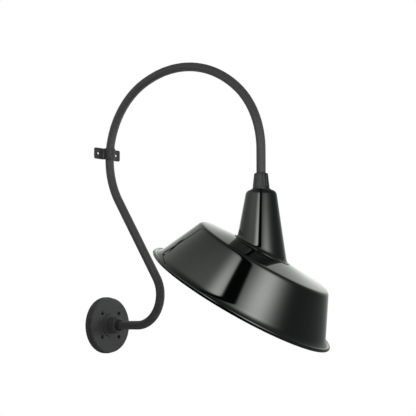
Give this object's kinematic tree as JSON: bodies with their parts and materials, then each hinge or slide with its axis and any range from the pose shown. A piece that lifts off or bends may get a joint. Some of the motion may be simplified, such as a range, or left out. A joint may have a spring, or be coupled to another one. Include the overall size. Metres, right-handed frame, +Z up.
{
  "type": "gooseneck wall sconce",
  "caption": "Gooseneck wall light: cast wall flange, bent tube arm looped up and over, wall strap, fluted cap and angled metal reflector shade that swivels on the arm's end.",
  "frame": {"origin": "on the wall plane, at the centre of the round wall flange's bolt circle", "axes": "+Z up along the wall, -Y out from the wall towards the room or street, +X to the right when looking along +Y at the wall"},
  "size_m": [0.4506, 0.6474, 0.7015],
  "materials": {
    "cast_black": "matte textured powder coat on a casting",
    "tube_black": "matte textured powder coat on steel tube",
    "strap_black": "matte powder coat on pressed steel",
    "cap_black": "satin black paint on a die casting",
    "gloss_black": "high-gloss black enamel, very slightly green",
    "black_rubber": "matte black rubber",
    "black_oxide_steel": "black oxide on steel",
    "zinc_steel": "bright zinc plate",
    "nylon": "natural nylon",
    "green_steel": "green passivated steel",
    "tinned_copper": "tin plate",
    "nickel_brass": "plain brass",
    "porcelain": "white glaze",
    "connector_plastic": "orange moulded plastic",
    "black_lead": "silicone-sleeved lead, black",
    "white_lead": "silicone-sleeved lead, white",
    "green_lead": "insulated lead, green"
  },
  "bodies": {
    "arm": {"wall_flange": "cast_black", "wall_gasket": "black_rubber", "hub_seal": "black_rubber", "hub_set_screw": "black_oxide_steel", "wire_bushing": "nylon", "ground_screw": "green_steel", "ground_lug": "tinned_copper", "ground_lead": "green_lead", "wire_connectors": "connector_plastic", "live_lead": "black_lead", "neutral_lead": "white_lead", "arm_tube": "tube_black", "wall_strap": "strap_black", "stem_cap": "cap_black", "cap_set_screw": "black_oxide_steel", "stem_nipple": "zinc_steel", "swivel_gasket": "black_rubber", "friction_washer": "nylon", "clamp_washer": "zinc_steel", "lock_nuts": "zinc_steel", "socket_bracket": "zinc_steel", "bracket_screws": "zinc_steel", "socket_body": "porcelain", "screw_shell": "nickel_brass", "centre_contact": "nickel_brass", "terminal_screws": "nickel_brass"},
    "shade": {"shade_neck": "gloss_black", "shade_bowl": "gloss_black"}
  },
  "joints": [
    {"name": "shade_swivel", "type": "hinge", "parent": "arm", "child": "shade", "pos_m": [0, -0.49253, 0.30631], "axis": [0, 0, 1], "continuous": true}
  ]
}
